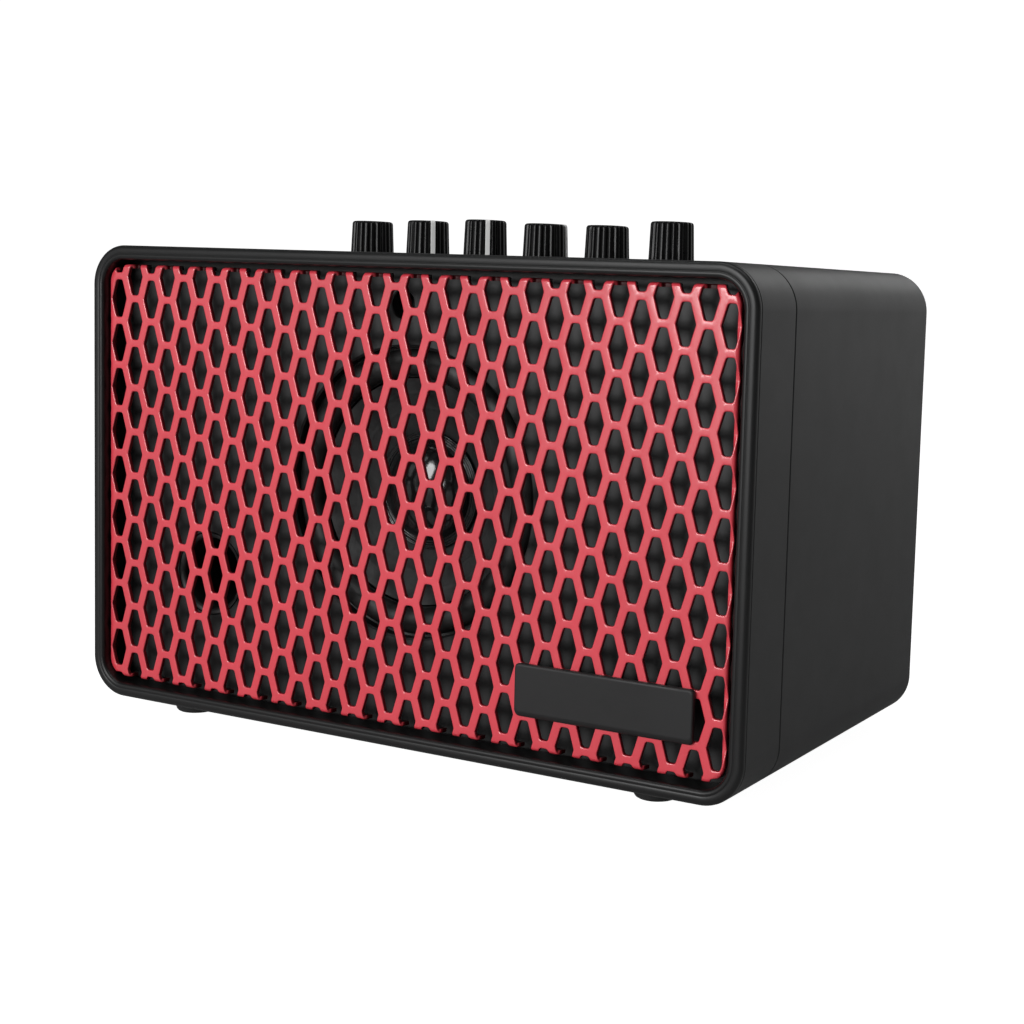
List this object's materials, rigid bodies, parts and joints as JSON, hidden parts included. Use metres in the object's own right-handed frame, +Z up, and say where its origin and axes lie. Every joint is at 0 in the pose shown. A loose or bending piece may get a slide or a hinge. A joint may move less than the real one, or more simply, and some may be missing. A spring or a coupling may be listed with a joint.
{
  "type": "guitar amplifier",
  "caption": "Compact table-top guitar amplifier: black two-part cabinet, red perforated front grille over a round speaker, a row of turning knobs on top.",
  "frame": {"origin": "centre of the footprint on the plane the feet rest on", "axes": "+Z up, the grille faces -Y, +X to the right as seen from the front"},
  "size_m": [0.2078, 0.1134, 0.1429],
  "materials": {
    "shell": "fine matte black moulding, satin highlight",
    "bezel": "semi-gloss black frame",
    "grille": "red powder coat on perforated steel",
    "badge": "plain black plate, no marking",
    "knob": "black fluted moulding",
    "shaft": "light plastic shaft",
    "steel": "zinc-plated steel",
    "dark_steel": "black oxide",
    "basket": "black painted pressed steel",
    "surround": "black rubber roll",
    "cone": "black paper cone",
    "dust_cap": "glossy black dome",
    "spider": "corrugated treated cloth",
    "coil": "copper winding on a former",
    "ferrite": "ceramic magnet ring",
    "panel": "black plate with fine scale marks",
    "board": "green circuit board",
    "battery": "shrink-wrapped cells",
    "jack": "black moulding",
    "led": "red diffused lens",
    "rubber": "black rubber"
  },
  "bodies": {
    "cabinet": {"aux_jack": "jack", "badge_plate": "badge", "bass_pot": "steel", "battery_pack": "battery", "bezel": "bezel", "case_screw_lower_left": "dark_steel", "case_screw_lower_right": "dark_steel", "case_screw_upper_left": "dark_steel", "case_screw_upper_right": "dark_steel", "charge_port": "steel", "control_board": "board", "control_plate": "panel", "foot_front_left": "rubber", "foot_front_right": "rubber", "foot_rear_left": "rubber", "foot_rear_right": "rubber", "front_screw": "dark_steel", "front_shell": "shell", "gain_pot": "steel", "grille": "grille", "headphone_jack": "jack", "input_jack": "jack", "input_jack_nut": "steel", "io_plate": "panel", "main_board": "board", "middle_pot": "steel", "port_tube": "shell", "power_switch_housing": "jack", "rear_shell": "shell", "reverb_pot": "steel", "speaker_basket": "basket", "speaker_magnet": "ferrite", "speaker_screw_lower_left": "dark_steel", "speaker_screw_lower_right": "dark_steel", "speaker_screw_upper_left": "dark_steel", "speaker_screw_upper_right": "dark_steel", "speaker_spider": "spider", "speaker_surround": "surround", "speaker_top_plate": "steel", "speaker_yoke": "steel", "status_led": "led", "treble_pot": "steel", "volume_pot": "steel"},
    "gain_control": {"gain_knob": "knob", "gain_shaft": "shaft"},
    "bass_control": {"bass_knob": "knob", "bass_shaft": "shaft"},
    "middle_control": {"middle_knob": "knob", "middle_shaft": "shaft"},
    "treble_control": {"treble_knob": "knob", "treble_shaft": "shaft"},
    "reverb_control": {"reverb_knob": "knob", "reverb_shaft": "shaft"},
    "volume_control": {"volume_knob": "knob", "volume_shaft": "shaft"},
    "cone_assembly": {"speaker_cone": "cone", "speaker_dust_cap": "dust_cap", "speaker_voice_coil": "coil"},
    "rocker": {"power_rocker": "knob"}
  },
  "joints": [
    {"name": "gain_turn", "type": "hinge", "parent": "cabinet", "child": "gain_control", "pos_m": [-0.0504, 0, 0.1317], "axis": [0, 0, 1], "range_deg": [-170, 130]},
    {"name": "bass_turn", "type": "hinge", "parent": "cabinet", "child": "bass_control", "pos_m": [-0.03024, 0, 0.1317], "axis": [0, 0, 1], "range_deg": [-20, 280]},
    {"name": "middle_turn", "type": "hinge", "parent": "cabinet", "child": "middle_control", "pos_m": [-0.01008, 0, 0.1317], "axis": [0, 0, 1], "range_deg": [-10, 290]},
    {"name": "treble_turn", "type": "hinge", "parent": "cabinet", "child": "treble_control", "pos_m": [0.01008, 0, 0.1317], "axis": [0, 0, 1], "range_deg": [-78, 222]},
    {"name": "reverb_turn", "type": "hinge", "parent": "cabinet", "child": "reverb_control", "pos_m": [0.03024, 0, 0.1317], "axis": [0, 0, 1], "range_deg": [-245, 55]},
    {"name": "volume_turn", "type": "hinge", "parent": "cabinet", "child": "volume_control", "pos_m": [0.0504, 0, 0.1317], "axis": [0, 0, 1], "range_deg": [-150, 150]},
    {"name": "cone_travel", "type": "slide", "parent": "cabinet", "child": "cone_assembly", "axis": [0, 1, 0], "range_m": [-0.0015, 0.0015], "stiffness_N_per_m": 1500},
    {"name": "power_rock", "type": "hinge", "parent": "cabinet", "child": "rocker", "pos_m": [0.043, 0.05315, 0.032], "axis": [1, 0, 0], "range_deg": [0, 16]}
  ]
}
